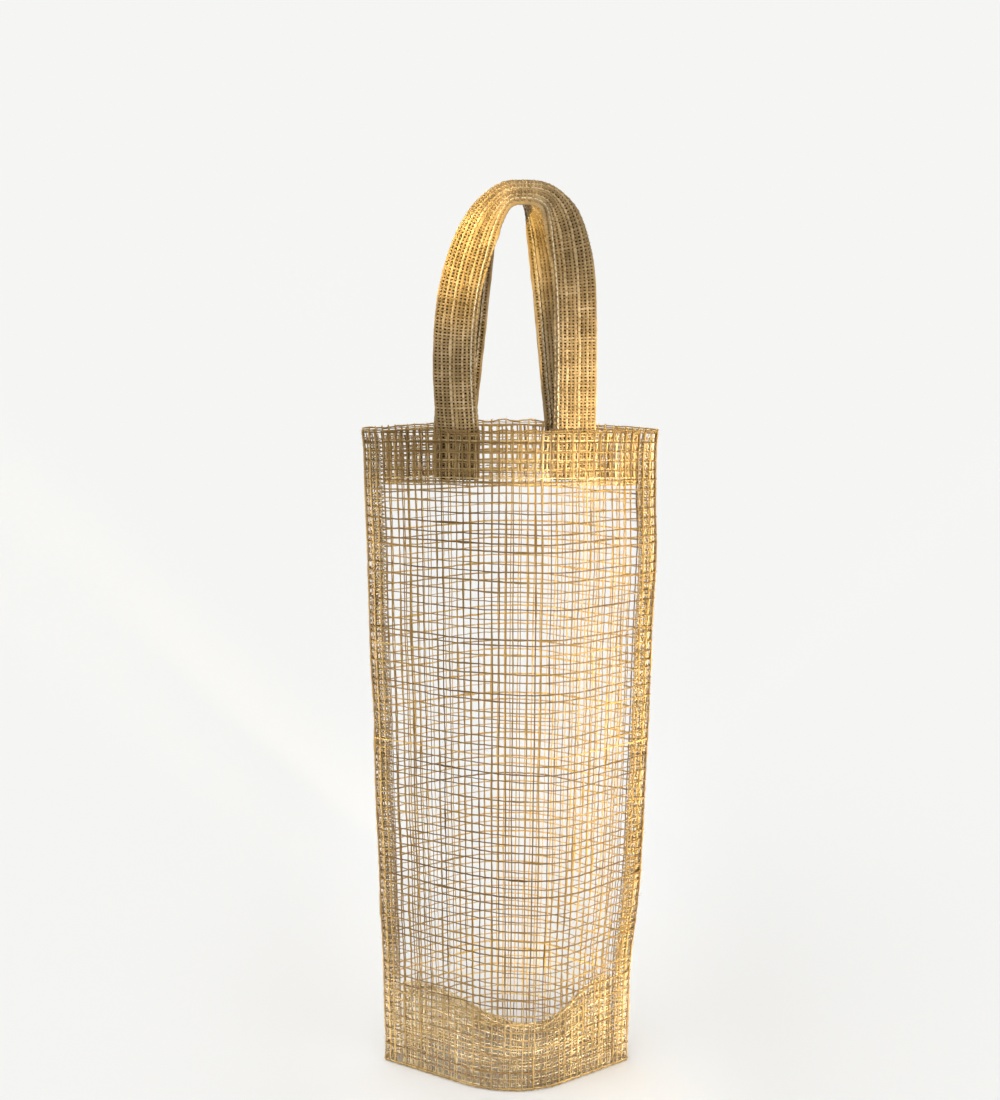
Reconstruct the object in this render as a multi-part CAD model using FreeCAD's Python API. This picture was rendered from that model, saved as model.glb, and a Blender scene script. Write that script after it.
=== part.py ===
import FreeCAD, Part
import math
import os
from collections import namedtuple

Vector = FreeCAD.Vector

# Driving dimensions in millimetres. X runs across the bag, Y from its front to its back, Z up.
# Cloth of the bag
cloth_thickness = 1.2
panel_width = 152.0          # flat width of one panel, from seam to seam
body_height = 360.0          # floor to rim
hem_height = 28.0            # cloth turned in at the mouth
seam_width = 8.0             # seam allowance turned in at each side
overlock_width = 1.2         # thread along the raw edge of a seam allowance
layer_gap = 0.3              # clearance between neighbouring layers

# Swell of the cloth from the middle plane
front_mouth_bulge = 8.0
back_mouth_bulge = 20.0
base_bulge = 37.0
bulge_power = 0.75           # how soon the cloth swells below the hem
crest_roundness = 0.6        # 1 is a full arc from seam to seam, near 0 is a sharp fold

# Plain grid of openings in each panel, far coarser than the net that it stands for
opening_column_count = 12
opening_row_count = 25
opening_bar = 3.4            # cloth left between neighbouring openings
opening_margin = 6.0         # cloth left above the floor and below the hem

# Gusset folded up between the panels at the base
gusset_depth = 46.0          # from a bottom edge to the fold
gusset_fold = 2.0            # half width of the rounded fold

# Handles
strap_width = 22.0
strap_thickness = 1.8
strap_spacing = 60.0         # between the two ends of a handle, centre to centre
front_handle_shift = 3.0     # the front handle is sewn on a little to the right
end_length = 26.0            # strap sewn inside the hem
front_handle_height = 123.5  # rim to the middle of the strap at the top of the loop
back_handle_height = 117.0
front_left_arch_power = 2.2  # squareness of a loop's shoulder
front_right_arch_power = 3.8
back_arch_power = 2.5
front_left_bow = 3.5         # the left side of the front loop bows outwards this far
twist_start = 0.3            # share of the way to the top where the strap begins to turn
front_top_turn = 70.0        # degrees that the strap has turned at the top of the loop, 90 is edge-on
back_top_turn = 80.0
handle_gap = 0.8             # between the two straps where they stand side by side

# Sewing thread
thread_width = 0.9
thread_height = 0.5
thread_gap = 0.1             # thread to the cloth that it lies on
hem_stitch_inset = 3.0       # stitch line to the lower edge of the hem
end_stitch_inset = 3.0       # stitch frame to the edges of a strap end
strap_stitch_inset = 3.0     # stitch line to the edge of a strap

front = -1
back = 1
left = -1
right = 1
side_names = {front: "front", back: "back"}
hand_names = {left: "left", right: "right"}
mouth_bulges = {front: front_mouth_bulge, back: back_mouth_bulge}

hem_bottom = body_height - hem_height
seam_half = 2 * cloth_thickness + layer_gap

# Half of a bag section: a line from each seam, tangent to an arc at the crest.
# half is the distance of the ends from the middle, edge and crest are depths from the middle plane.
Profile = namedtuple("Profile", "half edge crest radius")


def bulge(side, z):
    mouth = mouth_bulges[side]
    drop = max(0.0, hem_bottom - z) / hem_bottom
    return mouth + (base_bulge - mouth) * drop ** bulge_power


def half_width(z):
    # The cloth keeps its width, so the seams draw in as the panels swell
    mean_bulge = (bulge(front, z) + bulge(back, z)) / 2
    return math.sqrt((panel_width / 2) ** 2 - mean_bulge ** 2)


def panel_profile(side, z):
    half = half_width(z)
    crest = bulge(side, z)
    rise = crest - seam_half
    full_arc_radius = (half ** 2 + rise ** 2) / (2 * rise)
    return Profile(half, seam_half, crest, crest_roundness * full_arc_radius)


def tangent_angle(profile):
    across = profile.half
    up = profile.edge - (profile.crest - profile.radius)
    return math.atan2(up, across) + math.acos(profile.radius / math.hypot(across, up))


def depth_at(profile, x):
    angle = tangent_angle(profile)
    centre = profile.crest - profile.radius
    tangent_x = profile.radius * math.cos(angle)
    if abs(x) <= tangent_x:
        return centre + math.sqrt(profile.radius ** 2 - x ** 2)
    return centre + profile.radius * math.sin(angle) - (abs(x) - tangent_x) / math.tan(angle)


def layer_inside(profile, offset, half):
    # The same section, offset inwards and ending at half
    edge = depth_at(profile, half) - offset / math.sin(tangent_angle(profile))
    return Profile(half, edge, profile.crest - offset, profile.radius - offset)


def strip_wire(profile, thickness, side, z):
    angle = tangent_angle(profile)
    centre = profile.crest - profile.radius
    normal = (math.cos(angle), math.sin(angle))

    def point(x, depth):
        return Vector(x, side * depth, z)

    def run(offset):
        radius = profile.radius - offset
        end = (profile.half - offset * normal[0], profile.edge - offset * normal[1])
        tangent = (radius * normal[0], centre + radius * normal[1])
        return [
            point(end[0], end[1]),
            point(tangent[0], tangent[1]),
            point(0, centre + radius),
            point(-tangent[0], tangent[1]),
            point(-end[0], end[1]),
        ]

    outer = run(0)
    inner = run(thickness)
    edges = [
        Part.LineSegment(outer[0], outer[1]),
        Part.Arc(outer[1], outer[2], outer[3]),
        Part.LineSegment(outer[3], outer[4]),
        Part.LineSegment(outer[4], inner[4]),
        Part.LineSegment(inner[4], inner[3]),
        Part.Arc(inner[3], inner[2], inner[1]),
        Part.LineSegment(inner[1], inner[0]),
        Part.LineSegment(inner[0], outer[0]),
    ]
    return Part.Wire([edge.toShape() for edge in edges])


def polygon(points):
    return Part.makePolygon(points + [points[0]])


def ruled_solid(wires):
    return Part.makeLoft(wires, True, True)


def body_levels():
    shares = [0.0, 0.12, 0.3, 0.5, 0.7, 0.88, 1.0]
    return [share * hem_bottom for share in shares] + [body_height]


def seam_inner_edge(z):
    return half_width(z) - seam_width


def lining_half(z):
    # Where the hem and the gusset end, just inside the overlocked edge of the seam allowance
    return seam_inner_edge(z) - overlock_width - 2 * layer_gap


def opening_blocks(side):
    # One block for each opening, from the middle plane out through the panel
    row_pitch = (hem_bottom - 2 * opening_margin + opening_bar) / opening_row_count
    outwards = Vector(0, side * 2 * base_bulge, 0)
    blocks = []
    for row in range(opening_row_count):
        low = opening_margin + row * row_pitch
        high = low + row_pitch - opening_bar
        for column in range(opening_column_count):
            edges = []
            for z in (low, high):
                column_pitch = (2 * lining_half(z) + opening_bar) / opening_column_count
                start = column * column_pitch - lining_half(z)
                edges.append([Vector(start, 0, z), Vector(start + column_pitch - opening_bar, 0, z)])
            corners = edges[0] + edges[1][::-1]
            blocks.append(Part.Face(polygon(corners)).extrude(outwards))
    return blocks


def make_panel(side):
    wires = [strip_wire(panel_profile(side, z), cloth_thickness, side, z) for z in body_levels()]
    return ruled_solid(wires).cut(opening_blocks(side))


def make_hem(side):
    offset = cloth_thickness + layer_gap
    wires = []
    for z in (hem_bottom, body_height):
        profile = layer_inside(panel_profile(side, z), offset, lining_half(z))
        wires.append(strip_wire(profile, cloth_thickness, side, z))
    return ruled_solid(wires)


def make_hem_stitching(side):
    z = hem_bottom + hem_stitch_inset
    lift = thread_gap + thread_height
    outer = layer_inside(panel_profile(side, z), -lift, lining_half(z))
    wires = [strip_wire(outer, thread_height, side, level) for level in (z, z + thread_width)]
    return ruled_solid(wires)


def upright_strip(hand, near_edge, far_edge):
    # A flat strip in the middle plane, between two edges given at each height
    wires = []
    for z in body_levels():
        corners = [
            Vector(hand * near_edge(z), -cloth_thickness, z),
            Vector(hand * far_edge(z), -cloth_thickness, z),
            Vector(hand * far_edge(z), cloth_thickness, z),
            Vector(hand * near_edge(z), cloth_thickness, z),
        ]
        wires.append(polygon(corners))
    return ruled_solid(wires)


def make_seam_allowance(hand):
    return upright_strip(hand, seam_inner_edge, half_width)


def make_seam_overlock(hand):
    def outer_edge(z):
        return seam_inner_edge(z) - layer_gap

    def inner_edge(z):
        return outer_edge(z) - overlock_width

    return upright_strip(hand, inner_edge, outer_edge)


def gusset_wire(x, floor_half):
    # An inverted V with a rounded-off fold, as wide as the room between the panels at the floor
    lean = floor_half - gusset_fold
    height = math.sqrt(gusset_depth ** 2 - lean ** 2)
    floor_wall = cloth_thickness * gusset_depth / height
    inner_height = height - cloth_thickness
    inner_fold = floor_half - floor_wall - lean * inner_height / height
    right_half = [
        (gusset_fold, height),
        (floor_half, 0),
        (floor_half - floor_wall, 0),
        (inner_fold, inner_height),
    ]
    left_half = [(-y, z) for y, z in reversed(right_half)]
    return polygon([Vector(x, y, z) for y, z in right_half + left_half])


def make_gusset():
    span_count = 8
    half = lining_half(0)
    room = layer_inside(panel_profile(front, 0), cloth_thickness + layer_gap, half)
    stations = [half * (2 * i / span_count - 1) for i in range(span_count + 1)]
    return ruled_solid([gusset_wire(x, depth_at(room, x)) for x in stations])


# A strap end lies flat against the hollow inside of the hem. Seat gives its middle on the rim,
# the directions of its width, towards the middle of the bag, and of its outer face, and its turn
# from the X axis.
Seat = namedtuple("Seat", "centre along outward turn")


def handle_shift(side):
    return front_handle_shift if side == front else 0.0


def strap_seat(side, hand):
    x = handle_shift(side) + hand * strap_spacing / 2
    profile = panel_profile(side, body_height)
    steepest = math.pi / 2 - tangent_angle(profile)
    turn = math.copysign(min(steepest, math.asin(abs(x) / profile.radius)), x)
    outward = Vector(math.sin(turn), side * math.cos(turn), 0)
    along = Vector(math.cos(turn), -side * math.sin(turn), 0) * -hand
    hem_radius = profile.radius - 2 * cloth_thickness - layer_gap
    hollow = hem_radius - math.sqrt(hem_radius ** 2 - (strap_width / 2) ** 2)
    layers = 2 * (cloth_thickness + layer_gap) + hollow + strap_thickness / 2
    surface = Vector(x, side * depth_at(profile, x), body_height)
    return Seat(surface - outward * layers, along, outward, abs(turn))


def strap_wire(centre, along, outward, width, thickness):
    across = along * (width / 2)
    up = outward * (thickness / 2)
    corners = [centre - across - up, centre + across - up, centre + across + up, centre - across + up]
    return polygon(corners)


def make_strap_end(side, hand):
    seat = strap_seat(side, hand)
    wire = strap_wire(seat.centre, seat.along, seat.outward, strap_width, strap_thickness)
    return Part.Face(wire).extrude(Vector(0, 0, -end_length))


def make_end_stitching(side, hand):
    # A sewn frame on the face of the strap end that shows inside the bag
    seat = strap_seat(side, hand)
    sunk = strap_thickness / 2 + thread_gap + thread_height / 2
    face_centre = seat.centre - seat.outward * sunk

    def block(inset):
        width = strap_width - 2 * inset
        wire = strap_wire(face_centre, seat.along, seat.outward, width, thread_height)
        wire.translate(Vector(0, 0, -inset))
        return Part.Face(wire).extrude(Vector(0, 0, -(end_length - 2 * inset)))

    return block(end_stitch_inset).cut(block(end_stitch_inset + thread_width))


def between_handles():
    seats = [strap_seat(side, hand).centre.y for side in side_names for hand in hand_names]
    return sum(seats) / len(seats)


def handle_height(side):
    return front_handle_height if side == front else back_handle_height


def arch_power(side, hand):
    if side == back:
        return back_arch_power
    return front_left_arch_power if hand == left else front_right_arch_power


def arch_bow(side, hand):
    return front_left_bow if (side, hand) == (front, left) else 0.0


def top_turn(side):
    return math.radians(front_top_turn if side == front else back_top_turn)


# One place along a handle: its middle, the direction of its width towards the inside of the loop,
# and the direction its outer face looks.
Station = namedtuple("Station", "centre along outward")


def strap_station(side, hand, way):
    # way runs from 0 at the rim to 1 at the top of the loop
    seat = strap_seat(side, hand)
    if way == 0:
        return Station(seat.centre, seat.along, seat.outward)
    top_x = handle_shift(side)
    power = 2 / arch_power(side, hand)

    def arch_at(share):
        angle = share * math.pi / 2
        reach = max(0.0, math.cos(angle)) ** power
        rise = math.sin(angle) ** power
        bow = arch_bow(side, hand) * math.sin(math.pi * rise)
        x = top_x + (seat.centre.x - top_x) * reach + hand * bow
        return Vector(x, 0, body_height + handle_height(side) * rise)

    step = 0.001
    heading = (arch_at(min(1.0, way + step)) - arch_at(way - step)).normalize()
    inward = Vector(-hand * heading.z, 0, hand * heading.x)
    share = max(0.0, way - twist_start) / (1 - twist_start)
    turn = seat.turn + (top_turn(side) - seat.turn) * share ** 2 * (3 - 2 * share)
    facing = Vector(0, side, 0)
    along = inward * math.cos(turn) + facing * math.sin(turn)
    outward = facing * math.cos(turn) - inward * math.sin(turn)
    # The handles stand side by side, so each moves outwards as its strap turns edge-on
    reach_back = strap_width / 2 * math.sin(turn) + strap_thickness / 2 * math.cos(turn)
    clear_y = between_handles() + side * (reach_back + handle_gap / 2)
    y = side * max(side * seat.centre.y, side * clear_y)
    return Station(arch_at(way) + Vector(0, y, 0), along, outward)


def handle_stations(side):
    span_count = 11
    ways = [i / span_count for i in range(span_count + 1)]
    rising = [strap_station(side, left, way) for way in ways]
    falling = [strap_station(side, right, way) for way in reversed(ways[:-1])]
    return rising + falling


def make_strap(side):
    wires = []
    for station in handle_stations(side):
        wires.append(
            strap_wire(station.centre, station.along, station.outward, strap_width, strap_thickness)
        )
    return ruled_solid(wires)


def make_strap_stitching(side):
    # One line of thread along the outer face, by the inner edge of the loop
    across = strap_width / 2 - strap_stitch_inset
    lift = strap_thickness / 2 + thread_gap + thread_height / 2
    wires = []
    for station in handle_stations(side):
        centre = station.centre + station.along * across + station.outward * lift
        wires.append(
            strap_wire(centre, station.along, station.outward, thread_width, thread_height)
        )
    return ruled_solid(wires)


pieces = {"base_gusset": make_gusset()}
for side, side_name in side_names.items():
    pieces[f"{side_name}_panel"] = make_panel(side)
    pieces[f"{side_name}_hem"] = make_hem(side)
    pieces[f"{side_name}_hem_stitching"] = make_hem_stitching(side)
    pieces[f"{side_name}_handle_strap"] = make_strap(side)
    pieces[f"{side_name}_handle_stitching"] = make_strap_stitching(side)
    for hand, hand_name in hand_names.items():
        end_name = f"{side_name}_handle_{hand_name}_end"
        pieces[end_name] = make_strap_end(side, hand)
        pieces[f"{end_name}_stitching"] = make_end_stitching(side, hand)
for hand, hand_name in hand_names.items():
    pieces[f"{hand_name}_seam_allowance"] = make_seam_allowance(hand)
    pieces[f"{hand_name}_seam_overlock"] = make_seam_overlock(hand)

os.makedirs("parts", exist_ok=True)
for name, shape in pieces.items():
    if not shape.isValid() or len(shape.Solids) != 1:
        raise ValueError(f"{name} is not one valid solid")
    shape.Solids[0].exportStep(f"parts/{name}.step")
    print(f"{name}: {shape.Volume:.0f} mm3")
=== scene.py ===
import math
import random

import bmesh
import bpy
from mathutils import Matrix, Vector, noise


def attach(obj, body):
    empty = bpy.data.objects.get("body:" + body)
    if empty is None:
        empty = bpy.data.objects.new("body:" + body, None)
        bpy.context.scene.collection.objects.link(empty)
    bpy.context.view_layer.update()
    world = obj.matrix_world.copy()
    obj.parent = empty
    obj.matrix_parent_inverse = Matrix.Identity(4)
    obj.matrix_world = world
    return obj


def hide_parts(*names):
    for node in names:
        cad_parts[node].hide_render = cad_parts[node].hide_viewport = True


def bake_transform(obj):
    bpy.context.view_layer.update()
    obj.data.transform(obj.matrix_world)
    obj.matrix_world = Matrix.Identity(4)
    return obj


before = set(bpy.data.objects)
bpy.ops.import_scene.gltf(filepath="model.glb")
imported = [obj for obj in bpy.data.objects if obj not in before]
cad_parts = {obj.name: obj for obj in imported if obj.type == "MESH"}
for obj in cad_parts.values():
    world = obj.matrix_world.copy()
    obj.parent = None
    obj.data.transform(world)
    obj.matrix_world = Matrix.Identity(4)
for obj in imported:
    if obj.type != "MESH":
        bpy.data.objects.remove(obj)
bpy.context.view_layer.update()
scene = bpy.context.scene

# Form of the bag in metres: X across, Y from the front panel to the back panel, Z up
bagForm = {
    "panelWidth": 0.152,
    "height": 0.360,
    "hemHeight": 0.028,
    "seamWidth": 0.008,
    "mouthBulge": {"front": 0.008, "back": 0.020},
    "baseBulge": 0.037,
    "bulgePower": 0.75,
    "crestRoundness": 0.6,
    "seamDepth": 0.0027,     # cloth to the middle plane at a side seam
    "clothMiddle": 0.0006,   # outer face of the cloth to its middle
    "crestShift": 0.018,     # the fold down the front stands right of the middle
    "crestFoot": (0.25, 0.10),   # share of that shift at the floor, and the height that has all of it
    "crestTop": (0.345, 0.06),   # height where the fold is back at the middle, and how slowly
    "rimLift": 0.0014,       # the front rim rises a little at its middle
    "rimLiftSpan": (0.27, 0.09),   # where that starts and over what height it grows
    "cornerFlare": 0.0012,   # the bottom corners stick out a little
    "cornerReach": 0.008,
    "rimFlare": 0.0012,      # and so do the corners of the mouth
    "rimReach": 0.006,
    "rightBow": 0.0028,      # the right seam bows outwards over most of its height
    "bowStart": (0.05, 0.07),   # where the bow starts and over what height it grows
    "bowEnd": (0.36, 0.09),     # where it ends and over what height it fades
    "seamWander": 0.0007,    # how far a side seam strays from its line
}
slopeStep = {"across": 0.02, "up": 0.003}   # steps over which the slopes of the cloth are measured
facing = {"front": -1, "back": 1}
handSign = {"left": -1, "right": 1}
hemBottom = bagForm["height"] - bagForm["hemHeight"]


def smoothStep(value):
    value = min(1.0, max(0.0, value))
    return value * value * (3 - 2 * value)


def bulgeAt(side, z):
    mouth = bagForm["mouthBulge"][side]
    drop = max(0.0, hemBottom - z) / hemBottom
    return mouth + (bagForm["baseBulge"] - mouth) * drop ** bagForm["bulgePower"]


def halfWidthAt(z):
    meanBulge = (bulgeAt("front", z) + bulgeAt("back", z)) / 2
    return math.sqrt((bagForm["panelWidth"] / 2) ** 2 - meanBulge ** 2)


def seamPlace(sign, z):
    # Distance of a side seam from the middle plane of the bag
    place = halfWidthAt(z) + bagForm["cornerFlare"] * math.exp(-z / bagForm["cornerReach"])
    place += bagForm["rimFlare"] * math.exp((z - bagForm["height"]) / bagForm["rimReach"])
    if sign > 0:
        start, growth = bagForm["bowStart"]
        end, fade = bagForm["bowEnd"]
        place += bagForm["rightBow"] * smoothStep((z - start) / growth) * smoothStep((end - z) / fade)
    return place + bagForm["seamWander"] * noise.noise((3.0 * sign, z * 22, 5.0))


def crestPlace(side, z):
    if side == "back":
        return 0.0
    footShare, footHeight = bagForm["crestFoot"]
    end, fade = bagForm["crestTop"]
    low = footShare + (1 - footShare) * smoothStep(z / footHeight)
    return bagForm["crestShift"] * low * smoothStep((end - z) / fade)


def crestArc(side, z):
    # The rounded fold: its radius, its centre and the angle where the run to a seam leaves it
    half = halfWidthAt(z)
    crest = bulgeAt(side, z)
    rise = crest - bagForm["seamDepth"]
    radius = bagForm["crestRoundness"] * (half ** 2 + rise ** 2) / (2 * rise)
    up = bagForm["seamDepth"] - (crest - radius)
    angle = math.atan2(up, half) + math.acos(radius / math.hypot(half, up))
    return radius, crest - radius, angle


def arcDepth(arc, x):
    radius, centre, angle = arc
    tangentX = radius * math.cos(angle)
    if x <= tangentX:
        return centre + math.sqrt(radius ** 2 - x ** 2)
    return centre + radius * math.sin(angle) - (x - tangentX) / math.tan(angle)


def clothDepth(side, share, z):
    half = halfWidthAt(z)
    fold = crestPlace(side, z) / half
    reach = 1 - fold if share > fold else 1 + fold
    return arcDepth(crestArc(side, z), half * abs(share - fold) / reach)


def clothPoint(side, share, z, lift=0.0):
    # share runs from -1 at the left seam to 1 at the right seam
    # lift is measured outwards from the middle of the cloth
    step = slopeStep["across"]
    across = clothDepth(side, share + step, z) - clothDepth(side, share - step, z)
    across /= 2 * step * halfWidthAt(z)
    step = slopeStep["up"]
    upward = (clothDepth(side, share, z + step) - clothDepth(side, share, z - step)) / (2 * step)
    normal = Vector((-across, facing[side], -upward)).normalized()
    x = share * seamPlace(math.copysign(1, share), z)
    point = Vector((x, facing[side] * clothDepth(side, share, z), z))
    if side == "front":
        start, growth = bagForm["rimLiftSpan"]
        point.z += bagForm["rimLift"] * (1 - share ** 2) * smoothStep((z - start) / growth)
    return point + normal * (lift - bagForm["clothMiddle"]), normal


# Yarns
yarnForm = {
    "sides": 6,
    "thinnest": 0.65,        # limits of a yarn's radius as shares of the net's own
    "thickest": 1.5,
    "slubPace": 0.13,        # how fast slubs come and go from point to point
    "slubStart": 0.25,       # noise above this swells the yarn
    "slubMost": 0.7,
    "finePace": 0.6,
    "fine": 0.10,            # fine unevenness
}
fibreForm = {
    "lean": (-0.5, 1.2),     # how strongly a fibre points away from the cloth
    "lengths": (0.4, 1.0),   # as shares of the length given
    "curl": 0.22,
    "steps": (0, 0.35, 0.7, 1),
    "taper": 0.8,
    "tints": (0.5, 0.95),
    "floorGap": 0.0003,      # fibres that come closer to the floor are left out
}


def yarnRadii(count, net, rng):
    share = rng.gauss(1.0, net["uneven"])
    radius = net["radius"] * min(yarnForm["thickest"], max(yarnForm["thinnest"], share))
    phase = rng.uniform(0, 500)
    radii = []
    for index in range(count):
        slub = noise.noise((index * yarnForm["slubPace"], phase, 0.0)) - yarnForm["slubStart"]
        swell = max(0.0, slub) * net["slub"]
        fine = yarnForm["fine"] * noise.noise((index * yarnForm["finePace"], phase, 9.0))
        radii.append(radius * (1 + fine + min(swell, yarnForm["slubMost"])))
    return radii


def wovenYarn(line, net, rng, startsUp, headTail=(), endTail=()):
    # line holds a point of the cloth and its normal for each crossing
    # The yarn goes over and under in turn
    points = list(headTail)
    lift = net["crimp"] if startsUp else -net["crimp"]
    for index, (point, normal) in enumerate(line):
        points.append(point + normal * lift)
        if index + 1 < len(line):
            points.append((point + line[index + 1][0]) / 2)
        lift = -lift
    points.extend(endTail)
    radii = yarnRadii(len(points), net, rng)
    if not net["cutEnds"]:
        radii[0] = 0.0
        radii[-1] = 0.0
    return {"points": points, "radii": radii, "tint": rng.gauss(net["tint"], net["tintSpread"])}


def netYarns(crossings, net, rng, warpTails=None, weftTails=None):
    yarns = []
    for column in range(len(crossings[0])):
        line = [row[column] for row in crossings]
        tails = warpTails(column) if warpTails else ((), ())
        yarns.append(wovenYarn(line, net, rng, column % 2 == 0, *tails))
    for rowIndex, line in enumerate(crossings):
        tails = weftTails(rowIndex) if weftTails else ((), ())
        yarns.append(wovenYarn(line, net, rng, rowIndex % 2 == 1, *tails))
    return yarns


def anyWay(rng):
    return Vector((rng.gauss(0, 1), rng.gauss(0, 1), rng.gauss(0, 1)))


def looseFibres(crossings, fuzz, rng):
    fibres = []
    for _ in range(fuzz["count"]):
        point, normal = rng.choice(rng.choice(crossings))
        heading = anyWay(rng) + normal * rng.uniform(*fibreForm["lean"])
        curl = anyWay(rng)
        length = rng.uniform(*fibreForm["lengths"]) * fuzz["length"]
        heading.normalize()
        points = []
        for step in fibreForm["steps"]:
            points.append(point + length * (step * heading + fibreForm["curl"] * step ** 2 * curl))
        if min(place.z for place in points) < fibreForm["floorGap"]:
            continue
        radii = [0.0, fuzz["radius"], fuzz["radius"] * fibreForm["taper"], 0.0]
        fibres.append({"points": points, "radii": radii, "tint": rng.uniform(*fibreForm["tints"])})
    return fibres


def yarnPiece(name, yarns, *materials):
    # Each yarn is a bevelled spline, and a point's radius is the yarn's own radius in metres
    curve = bpy.data.curves.new(name, "CURVE")
    curve.dimensions = "3D"
    curve.bevel_depth = 1.0
    curve.bevel_resolution = yarnForm["sides"] // 2 - 2
    tints = []
    for yarn in yarns:
        spline = curve.splines.new("POLY")
        spline.points.add(len(yarn["points"]) - 1)
        spline.points.foreach_set("co", [c for point in yarn["points"] for c in (*point, 1.0)])
        spline.points.foreach_set("radius", yarn["radii"])
        spline.use_cyclic_u = yarn.get("closed", False)
        tints.extend([yarn["tint"]] * (yarnForm["sides"] * len(yarn["points"])))
    carrier = bpy.data.objects.new(name, curve)
    mesh = bpy.data.meshes.new_from_object(carrier)
    bpy.data.objects.remove(carrier)
    bpy.data.curves.remove(curve)
    mesh.name = name
    mesh.attributes.new("yarnTint", "FLOAT", "POINT").data.foreach_set("value", tints)
    bm = bmesh.new()
    bm.from_mesh(mesh)
    bmesh.ops.remove_doubles(bm, verts=bm.verts, dist=1e-7)   # closes the pointed ends
    bm.to_mesh(mesh)
    bm.free()
    mesh.materials.clear()
    for material in materials:
        mesh.materials.append(material)
    piece = bpy.data.objects.new(name, mesh)
    scene.collection.objects.link(piece)
    return piece


# Materials
def juteMaterial(name, look):
    material = bpy.data.materials.new(name)
    material.use_nodes = True
    nodes = material.node_tree.nodes
    links = material.node_tree.links
    shader = nodes["Principled BSDF"]
    shader.inputs["Roughness"].default_value = look["roughness"]
    shader.inputs["Specular IOR Level"].default_value = 0.2
    shader.inputs["Sheen Weight"].default_value = look["sheen"]
    shader.inputs["Sheen Roughness"].default_value = 0.5
    tint = nodes.new("ShaderNodeAttribute")
    tint.attribute_name = "yarnTint"
    place = nodes.new("ShaderNodeTexCoord")
    blotch = nodes.new("ShaderNodeTexNoise")      # slow changes of colour along and between yarns
    blotch.inputs["Scale"].default_value = look["blotchScale"]
    blotch.inputs["Detail"].default_value = 3.0
    links.new(place.outputs["Object"], blotch.inputs["Vector"])
    shift = nodes.new("ShaderNodeMath")
    shift.operation = "MULTIPLY_ADD"
    shift.inputs[1].default_value = look["blotch"]
    shift.inputs[2].default_value = -0.5 * look["blotch"]
    links.new(blotch.outputs["Fac"], shift.inputs[0])
    total = nodes.new("ShaderNodeMath")
    total.operation = "ADD"
    links.new(tint.outputs["Fac"], total.inputs[0])
    links.new(shift.outputs["Value"], total.inputs[1])
    ramp = nodes.new("ShaderNodeValToRGB")
    ramp.color_ramp.elements[0].color = (*look["dark"], 1.0)
    ramp.color_ramp.elements[1].color = (*look["light"], 1.0)
    middle = ramp.color_ramp.elements.new(0.5)
    middle.color = (*look["middle"], 1.0)
    links.new(total.outputs["Value"], ramp.inputs["Fac"])
    links.new(ramp.outputs["Color"], shader.inputs["Base Color"])
    fibre = nodes.new("ShaderNodeTexNoise")       # hairs of the spun yarn
    fibre.inputs["Scale"].default_value = look["fibreScale"]
    fibre.inputs["Detail"].default_value = 4.0
    links.new(place.outputs["Object"], fibre.inputs["Vector"])
    bump = nodes.new("ShaderNodeBump")
    bump.inputs["Strength"].default_value = look["bump"]
    bump.inputs["Distance"].default_value = 0.0002
    links.new(fibre.outputs["Fac"], bump.inputs["Height"])
    links.new(bump.outputs["Normal"], shader.inputs["Normal"])
    return material


juteFinish = {
    "roughness": 0.85,
    "sheen": 0.15,
    "blotchScale": 45.0,
    "blotch": 0.7,
    "fibreScale": 1800.0,
    "bump": 0.5,
}
threadFinish = {
    "roughness": 0.75,
    "sheen": 0.1,
    "blotchScale": 160.0,
    "blotch": 0.5,
    "fibreScale": 2500.0,
    "bump": 0.3,
}
netJute = juteMaterial("net jute", {
    **juteFinish,
    "dark": (0.16, 0.088, 0.026),
    "middle": (0.33, 0.21, 0.072),
    "light": (0.68, 0.44, 0.145),
})
seamJute = juteMaterial("seam jute", {
    **juteFinish,
    "dark": (0.32, 0.225, 0.13),
    "middle": (0.56, 0.43, 0.28),
    "light": (0.82, 0.71, 0.54),
    "roughness": 0.9,
    "sheen": 0.2,
    "blotchScale": 60.0,
})
strapJute = juteMaterial("strap jute", {
    **juteFinish,
    "dark": (0.16, 0.10, 0.033),
    "middle": (0.43, 0.29, 0.132),
    "light": (0.75, 0.57, 0.34),
    "blotchScale": 110.0,
    "blotch": 0.9,
})
# Near-black core of the straps: painted shade seen through the gaps of the weave
strapShade = juteMaterial("painted shade core", {
    "dark": (0.03, 0.016, 0.004),
    "middle": (0.06, 0.034, 0.009),
    "light": (0.10, 0.060, 0.016),
    "roughness": 0.95,
    "sheen": 0.0,
    "blotchScale": 120.0,
    "blotch": 0.6,
    "fibreScale": 900.0,
    "bump": 0.4,
})
ivoryThread = juteMaterial("ivory thread", {
    **threadFinish,
    "dark": (0.52, 0.43, 0.28),
    "middle": (0.72, 0.64, 0.48),
    "light": (0.84, 0.78, 0.64),
    "roughness": 0.7,
})
tanThread = juteMaterial("tan thread", {
    **threadFinish,
    "dark": (0.40, 0.27, 0.11),
    "middle": (0.58, 0.42, 0.19),
    "light": (0.74, 0.58, 0.31),
})
print("materials made")

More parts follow.
